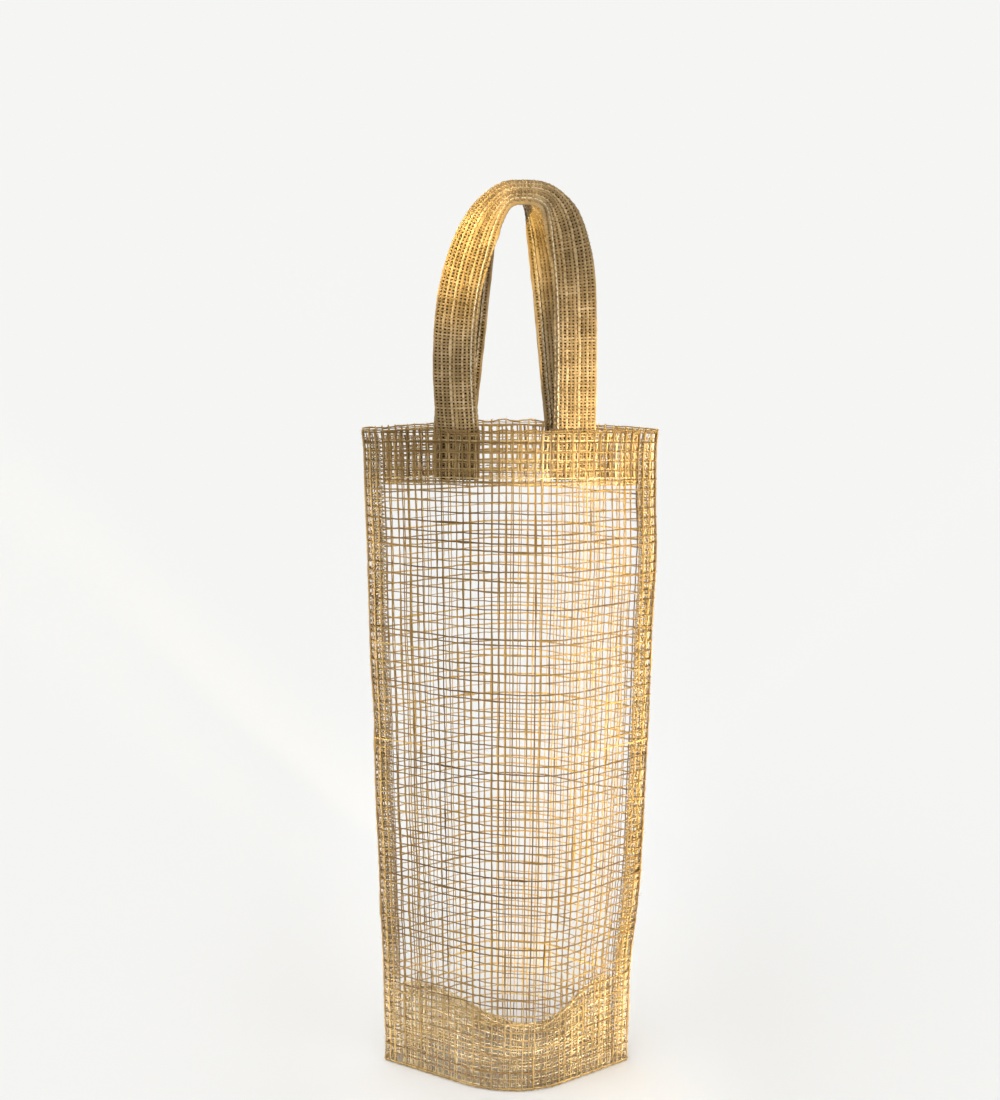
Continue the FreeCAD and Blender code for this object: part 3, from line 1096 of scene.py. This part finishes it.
def makeHemStitching(side):
    rng = random.Random(hemStitch["seed"][side])
    uneven = hemStitch["uneven"]
    radius = hemStitch["radius"]
    z = hemBottom + hemStitch["height"]
    half = halfWidthAt(z)
    step = hemStitch["length"] + hemStitch["gap"]
    count = int(2 * (half - hemNet["inset"]) / step)
    yarns = []
    for stitch in range(count):
        start = -half + hemNet["inset"] + stitch * step
        points = []
        for part, lift in hemStitch["steps"]:
            x = start + part * hemStitch["length"]
            points.append(clothPoint(side, x / half, z + rng.uniform(-uneven, uneven), lift)[0])
        tint = rng.gauss(*hemStitch["tint"])
        yarns.append({"points": points, "radii": [0.0, radius, radius, 0.0], "tint": tint})
    piece = yarnPiece(f"{side}HemStitching", yarns, tanThread)
    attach(piece, "bag")
    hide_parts(f"{side}_hem_stitching")


for side in facing:
    makeHemStitching(side)
print("hems sewn")

# Floor, light and camera
studio = {
    "floorSize": 60.0,
    "floorColour": (0.86, 0.86, 0.85),
    "skyColour": (0.97, 0.97, 0.96),
    "ambient": 0.52,
}
# One broad light far above: where it shines from, its strength and the angle it fills
topSun = {"from": (-0.20, -0.10, 1.0), "strength": 1.8, "angle": 70}
# Narrow soft lights: on the right of the body, along the base, on the left of the handles,
# on the right of the mouth and down the left seam
lamps = {
    "right": {
        "place": (0.45, -0.75, 0.25),
        "aim": (0.052, 0.0, 0.21),
        "size": (0.05, 0.40),
        "spread": 8,
        "power": 0.23,
        "colour": (1.0, 0.85, 0.54),
    },
    "low": {
        "place": (0.02, -0.70, 0.07),
        "aim": (0.014, 0.0, 0.022),
        "size": (0.20, 0.02),
        "spread": 8,
        "power": 0.054,
        "colour": (0.94, 0.97, 1.0),
    },
    "left": {
        "place": (-0.28, -0.60, 0.50),
        "aim": (-0.030, 0.0, 0.460),
        "size": (0.06, 0.06),
        "spread": 6,
        "power": 0.029,
        "colour": (1.0, 0.75, 0.24),
    },
    "mouth": {
        "place": (0.12, -0.75, 0.45),
        "aim": (0.024, 0.0, 0.340),
        "size": (0.04, 0.01),
        "spread": 4,
        "power": 0.006,
        "colour": (1.0, 0.97, 0.90),
    },
    "edge": {
        "place": (-0.45, -0.75, 0.20),
        "aim": (-0.072, 0.0, 0.185),
        "size": (0.02, 0.30),
        "spread": 5,
        "power": 0.040,
        "colour": (1.0, 0.96, 0.90),
    },
}
view = {
    "place": (-0.0169, -1.25, 0.7016),
    "pitch": 0.3141,
    "yaw": 0.0096,
    "roll": 0.0051,
    "lens": 83.2,
}

bpy.ops.mesh.primitive_plane_add(size=studio["floorSize"])
floor = bpy.context.object
floor.name = "floor"
floorMaterial = bpy.data.materials.new("pale floor")
floorMaterial.use_nodes = True
floorShader = floorMaterial.node_tree.nodes["Principled BSDF"]
floorShader.inputs["Base Color"].default_value = (*studio["floorColour"], 1.0)
floorShader.inputs["Roughness"].default_value = 0.9
floorShader.inputs["Specular IOR Level"].default_value = 0.0
floor.data.materials.append(floorMaterial)

world = bpy.data.worlds.new("studio")
scene.world = world
world.use_nodes = True
worldNodes = world.node_tree.nodes
worldLinks = world.node_tree.links
sky = worldNodes["Background"]
sky.inputs["Color"].default_value = (*studio["skyColour"], 1.0)
ray = worldNodes.new("ShaderNodeLightPath")
seen = ray.outputs["Is Camera Ray"]
for kind in ("Is Glossy Ray", "Is Transmission Ray"):
    either = worldNodes.new("ShaderNodeMath")
    either.operation = "MAXIMUM"
    worldLinks.new(seen, either.inputs[0])
    worldLinks.new(ray.outputs[kind], either.inputs[1])
    seen = either.outputs["Value"]
level = worldNodes.new("ShaderNodeMapRange")      # the sky is white where it is seen, dimmer as a light
level.inputs["To Min"].default_value = studio["ambient"]
level.inputs["To Max"].default_value = 1.0
worldLinks.new(seen, level.inputs["Value"])
worldLinks.new(level.outputs["Result"], sky.inputs["Strength"])


def addLight(light, place, towards):
    # A light shines from where it stands against the direction given
    holder = bpy.data.objects.new(light.name, light)
    holder.location = place
    holder.rotation_euler = Vector(towards).to_track_quat("Z", "Y").to_euler()
    holder.visible_camera = False
    scene.collection.objects.link(holder)


broad = bpy.data.lights.new("top", "SUN")
broad.energy = topSun["strength"]
broad.angle = math.radians(topSun["angle"])
addLight(broad, (0, 0, 2), topSun["from"])
for name, lamp in lamps.items():
    soft = bpy.data.lights.new(name, "AREA")
    soft.shape = "RECTANGLE"
    soft.size, soft.size_y = lamp["size"]
    soft.spread = math.radians(lamp["spread"])
    soft.energy = lamp["power"]
    soft.color = lamp["colour"]
    addLight(soft, lamp["place"], Vector(lamp["place"]) - Vector(lamp["aim"]))

cameraData = bpy.data.cameras.new("camera")
cameraData.lens = view["lens"]
cameraData.clip_end = 100
camera = bpy.data.objects.new("camera", cameraData)
turn = Matrix.Rotation(-view["yaw"], 4, "Z") @ Matrix.Rotation(math.pi / 2 - view["pitch"], 4, "X")
camera.matrix_world = Matrix.Translation(view["place"]) @ turn @ Matrix.Rotation(view["roll"], 4, "Z")
scene.collection.objects.link(camera)
scene.camera = camera
scene.view_settings.view_transform = "Standard"
print("studio set")
